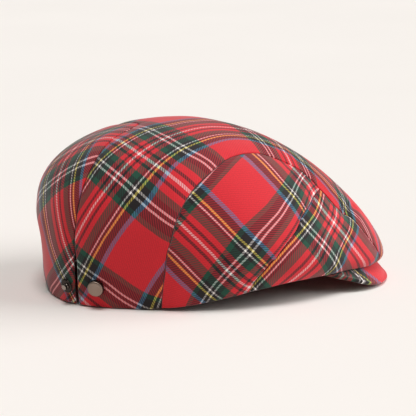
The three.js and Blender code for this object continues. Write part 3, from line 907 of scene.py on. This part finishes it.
def turned_map(body):
    """Map of a turned part about the Z axis: share of the turn, and radius."""
    layer = body.loops.layers.uv.new(TURNED_MAP)
    for face in body.faces:
        middle = face.calc_center_median()
        face_turn = math.atan2(middle.y, middle.x)
        for loop in face.loops:
            spot = loop.vert.co
            radius = math.hypot(spot.x, spot.y)
            turn = math.atan2(spot.y, spot.x) if radius > MERGE_DISTANCE / MM else face_turn
            turn -= 2 * math.pi * round((turn - face_turn) / (2 * math.pi))
            loop[layer].uv = (turn / (2 * math.pi), radius)


def snap_piece(name, section, angle_and_depth, side):
    """A turned snap part that stands square on the cloth, on the right (-1) or the left (1)."""
    spot = place(*(np.array(float(value)) for value in angle_and_depth))
    normal = Vector(crown_normal(spot))
    foot = Vector(smooth_crown(spot)) + normal * SNAP_GAP
    body = bmesh.new()
    outline = [body.verts.new((radius, 0, height)) for radius, height in section]
    edges = [body.edges.new(pair) for pair in zip(outline, outline[1:])]
    bmesh.ops.spin(body, geom=outline + edges, cent=(0, 0, 0), axis=(0, 0, 1), angle=2 * math.pi,
                   steps=SNAP_SIDES, use_merge=True)
    bmesh.ops.remove_doubles(body, verts=body.verts[:], dist=MERGE_DISTANCE / MM)
    turned_map(body)
    upright = Vector((0, 0, 1)).rotation_difference(normal).to_matrix().to_4x4()
    bmesh.ops.transform(body, matrix=Matrix.Translation(foot) @ upright, verts=body.verts[:])
    bmesh.ops.scale(body, vec=(MM, -side * MM, MM), verts=body.verts[:])
    bmesh.ops.recalc_face_normals(body, faces=body.faces[:])
    return new_piece(name, body)


# Materials


def linear(colour):
    """A colour of 0 to 255, as seen on a screen, in Blender's own linear values."""
    shares = [value / 255 for value in colour]
    return [v / 12.92 if v <= 0.04045 else ((v + 0.055) / 1.055) ** 2.4 for v in shares] + [1]


def new_material(name):
    material = bpy.data.materials.new(name)
    material.use_nodes = True
    return material, material.node_tree, material.node_tree.nodes["Principled BSDF"]


def wire(tree, kind, inputs, **settings):
    """A shader node with its settings, and its inputs given as values or as other nodes' outputs."""
    made = tree.nodes.new(kind)
    for name, value in settings.items():
        setattr(made, name, value)
    for key, value in inputs.items():
        if isinstance(value, bpy.types.NodeSocket):
            tree.links.new(value, made.inputs[key])
        else:
            made.inputs[key].default_value = value
    return made


def maths(tree, operation, first, second):
    return wire(tree, "ShaderNodeMath", {0: first, 1: second}, operation=operation).outputs[0]


def noise_node(tree, where, scale, detail):
    return wire(tree, "ShaderNodeTexNoise", {"Vector": where, "Scale": scale, "Detail": detail})


def ranged(tree, value, span, to_span, **settings):
    """A value moved from one span of values to another."""
    inputs = {"Value": value}
    inputs["From Min"], inputs["From Max"] = span
    inputs["To Min"], inputs["To Max"] = to_span
    return wire(tree, "ShaderNodeMapRange", inputs, **settings).outputs["Result"]


def toned(tree, colour, tone):
    return wire(tree, "ShaderNodeVectorMath", {0: colour, "Scale": tone}, operation="SCALE").outputs[0]


def ribbed(tree, distance, width):
    """Share of the way, out and back again, across a width that repeats."""
    return maths(tree, "DIVIDE", maths(tree, "PINGPONG", distance, width), width)


def set_values(shader, values):
    for name, value in values.items():
        shader.inputs[name].default_value = value


def stripes(tree, distance, sett, repeat):
    """Thread colour, as seen, at a distance across the sett, which runs out and back again."""
    ramp = wire(tree, "ShaderNodeValToRGB", {"Fac": ribbed(tree, distance, repeat / 2)})
    ramp.color_ramp.interpolation = "CONSTANT"
    elements = ramp.color_ramp.elements
    elements.remove(elements[-1])
    start = 0
    for k, (colour, width) in enumerate(sett):
        element = elements[0] if k == 0 else elements.new(start / (repeat / 2))
        element.color = [value / 255 for value in THREAD_COLOURS[colour]] + [1]
        start += width
    return ramp.outputs["Color"]


def tartan():
    """Twill cloth: warp and weft stripes cross, and each shows in diagonal ribs, with painted shade on one
    side of each rib.
    """
    material, tree, shader = new_material("tartan")
    cloth = wire(tree, "ShaderNodeUVMap", {}, uv_map=CLOTH_MAP).outputs["UV"]
    weave = wire(tree, "ShaderNodeUVMap", {}, uv_map=WEAVE_MAP).outputs["UV"]
    drift = noise_node(tree, weave, DRIFT["scale"], DRIFT["detail"]).outputs["Color"]
    reach = (DRIFT["reach"], DRIFT["reach"], 0)
    moved = wire(tree, "ShaderNodeVectorMath", {0: drift, 1: reach, 2: cloth}, operation="MULTIPLY_ADD")
    split = wire(tree, "ShaderNodeSeparateXYZ", {"Vector": moved.outputs[0]})
    across, along = split.outputs["X"], split.outputs["Y"]
    threads = wire(tree, "ShaderNodeSeparateXYZ", {"Vector": weave})
    diagonal = maths(tree, "ADD", threads.outputs["X"], threads.outputs["Y"])
    rib = ribbed(tree, diagonal, TWILL["pitch"] / 2)
    shares = (0.5 - TWILL["contrast"], 0.5 + TWILL["contrast"])
    over = ranged(tree, rib, TWILL["edge"], shares, interpolation_type="SMOOTHSTEP")
    warp = stripes(tree, across, WARP_SETT, WARP_REPEAT)
    weft = stripes(tree, along, WEFT_SETT, WEFT_REPEAT)
    seen = wire(tree, "ShaderNodeMix", {"Factor": over, 6: warp, 7: weft}, data_type="RGBA").outputs[2]
    woven = wire(tree, "ShaderNodeGamma", {"Color": seen, "Gamma": SCREEN_GAMMA}).outputs["Color"]
    fibres = noise_node(tree, weave, FIBRE["scale"], FIBRE["detail"]).outputs["Fac"]
    # painted shade: one side of each twill rib is darker, as if in the shade of its neighbour; the fibre
    # tone below is random
    rib_shade = ranged(tree, rib, TWILL["span"], TWILL["tone"])
    tone = maths(tree, "MULTIPLY", ranged(tree, fibres, NOISE_SPAN, FIBRE["tone"]), rib_shade)
    tree.links.new(toned(tree, woven, tone), shader.inputs["Base Color"])
    crossing = maths(tree, "ABSOLUTE", maths(tree, "SUBTRACT", rib, 0.5), 0)
    height = maths(tree, "ADD", crossing, maths(tree, "MULTIPLY", fibres, FIBRE["height"]))
    relief = {"Height": height, "Strength": RELIEF["strength"], "Distance": RELIEF["depth"] * MM}
    bump = wire(tree, "ShaderNodeBump", relief)
    tree.links.new(bump.outputs["Normal"], shader.inputs["Normal"])
    tree.links.new(ranged(tree, fibres, NOISE_SPAN, FIBRE["roughness"]), shader.inputs["Roughness"])
    set_values(shader, CLOTH_SHINE)
    return material


def snap_metal(name, colour, roughness, bright_radius, dark_tone):
    """Satin turned metal with fine rings, darker outside its bright middle: painted shade on the snap cap's
    side wall, a dark tone over the stud's dish and ring.
    """
    material, tree, shader = new_material(name)
    turned = wire(tree, "ShaderNodeUVMap", {}, uv_map=TURNED_MAP).outputs["UV"]
    radius = wire(tree, "ShaderNodeSeparateXYZ", {"Vector": turned}).outputs["Y"]
    noise_inputs = {"W": radius, **RING_NOISE}
    rings = wire(tree, "ShaderNodeTexNoise", noise_inputs, noise_dimensions="1D").outputs[0]
    ring_tone = ranged(tree, rings, NOISE_SPAN, RING_TONE)
    # darker outside the middle radius: painted shade on the snap cap's side wall; on the stud a dark tone
    # over its dish and ring
    dark = ranged(tree, radius, (bright_radius, bright_radius + DARKENING), (1, dark_tone))
    tone = maths(tree, "MULTIPLY", ring_tone, dark)
    tree.links.new(toned(tree, linear(colour)[:3], tone), shader.inputs["Base Color"])
    tree.links.new(ranged(tree, rings, NOISE_SPAN, roughness), shader.inputs["Roughness"])
    tangent = wire(tree, "ShaderNodeTangent", {}, direction_type="UV_MAP", uv_map=TURNED_MAP)
    tree.links.new(tangent.outputs[0], shader.inputs["Tangent"])
    set_values(shader, METAL_SHINE)
    return material


def paper(colour):
    """Plain pale floor with a barely uneven tone."""
    material, tree, shader = new_material("pale floor")
    spot = wire(tree, "ShaderNodeTexCoord", {}).outputs["Object"]
    uneven = noise_node(tree, spot, FLOOR_NOISE["scale"], FLOOR_NOISE["detail"]).outputs["Fac"]
    tone = ranged(tree, uneven, NOISE_SPAN, FLOOR_NOISE["tone"])
    tree.links.new(toned(tree, linear(colour)[:3], tone), shader.inputs["Base Color"])
    set_values(shader, FLOOR_SHINE)
    return material


# Cap


def add_panels(cloth):
    crest_and_nose = top_half()
    top = panel("top_cloth", crest_and_nose[:TUCK_ROW + 1], TOP_LINES, True)
    nose = panel("top_cloth_nose", crest_and_nose[TUCK_ROW:], NOSE_LINES, True)
    back = panel("back_cloth", back_half(), BACK_LINES, True)
    side = panel("side_cloth_right", side_points(), SIDE_LINES, False)
    front = panel("front_cloth_right", front_points(), FRONT_LINES, False)
    rows = [
        (top, "top_panel"),
        (nose, "top_panel"),
        (back, "back_panel"),
        (side, "side_panel_right"),
        (mirrored_piece(side, "side_cloth_left"), "side_panel_left"),
        (front, "front_panel_right"),
        (mirrored_piece(front, "front_cloth_left"), "front_panel_left"),
    ]
    for piece, node in rows:
        cloth_wall(piece)
        finished(piece, node, cloth)


def add_snaps():
    cap_metal = snap_metal("satin gunmetal", **CAP_METAL)
    stud_metal = snap_metal("stud gunmetal", **STUD_METAL)
    for name, side in (("right", -1), ("left", 1)):
        cap = snap_piece(f"snap_cap_metal_{name}", SNAP_CAP_SECTION, SNAP_CAP_PLACE, side)
        finished(cap, f"snap_cap_{name}", cap_metal)
        stud = snap_piece(f"snap_stud_metal_{name}", SNAP_STUD_SECTION, SNAP_STUD_PLACE, side)
        finished(stud, f"snap_stud_{name}", stud_metal)


# Stage


def add_floor():
    body = bmesh.new()
    bmesh.ops.create_grid(body, x_segments=1, y_segments=1, size=FLOOR_SIZE / 2)
    floor = new_piece("floor", body)
    floor.data.materials.append(paper(FLOOR_COLOUR))


def add_light(name, direction, width, strength):
    """A wide soft light from far away in one direction."""
    data = bpy.data.lights.new(name, "SUN")
    data.angle = math.radians(width)
    data.energy = strength
    lamp = bpy.data.objects.new(name, data)
    lamp.rotation_euler = Vector(direction).to_track_quat("Z", "Y").to_euler()
    bpy.context.scene.collection.objects.link(lamp)


def add_sky():
    world = bpy.data.worlds.new("soft studio")
    world.use_nodes = True
    background = world.node_tree.nodes["Background"]
    background.inputs["Color"].default_value = linear(SKY_COLOUR)
    background.inputs["Strength"].default_value = SKY_STRENGTH
    bpy.context.scene.world = world


def add_camera():
    data = bpy.data.cameras.new("photo view")
    data.sensor_width = SENSOR
    data.lens = FOCAL_PIXELS * SENSOR / PICTURE_SIDE
    data.shift_x = (PICTURE_SIDE / 2 - TARGET_PIXEL[0]) / PICTURE_SIDE
    data.shift_y = (TARGET_PIXEL[1] - PICTURE_SIDE / 2) / PICTURE_SIDE
    camera = bpy.data.objects.new("photo view", data)
    axes = Matrix(camera_axes()).transposed().to_4x4()
    camera.matrix_world = Matrix.Translation(camera_stand()) @ axes
    bpy.context.scene.collection.objects.link(camera)
    bpy.context.scene.camera = camera


TARTAN = tartan()
add_panels(TARTAN)
finished(peak_piece(), "peak", TARTAN)
add_snaps()
add_floor()
add_sky()
for light in LIGHTS:
    add_light(*light)
add_camera()
bpy.context.scene.view_settings.view_transform = "Standard"
bpy.context.scene.view_settings.look = "Medium High Contrast"

bpy.context.view_layer.update()
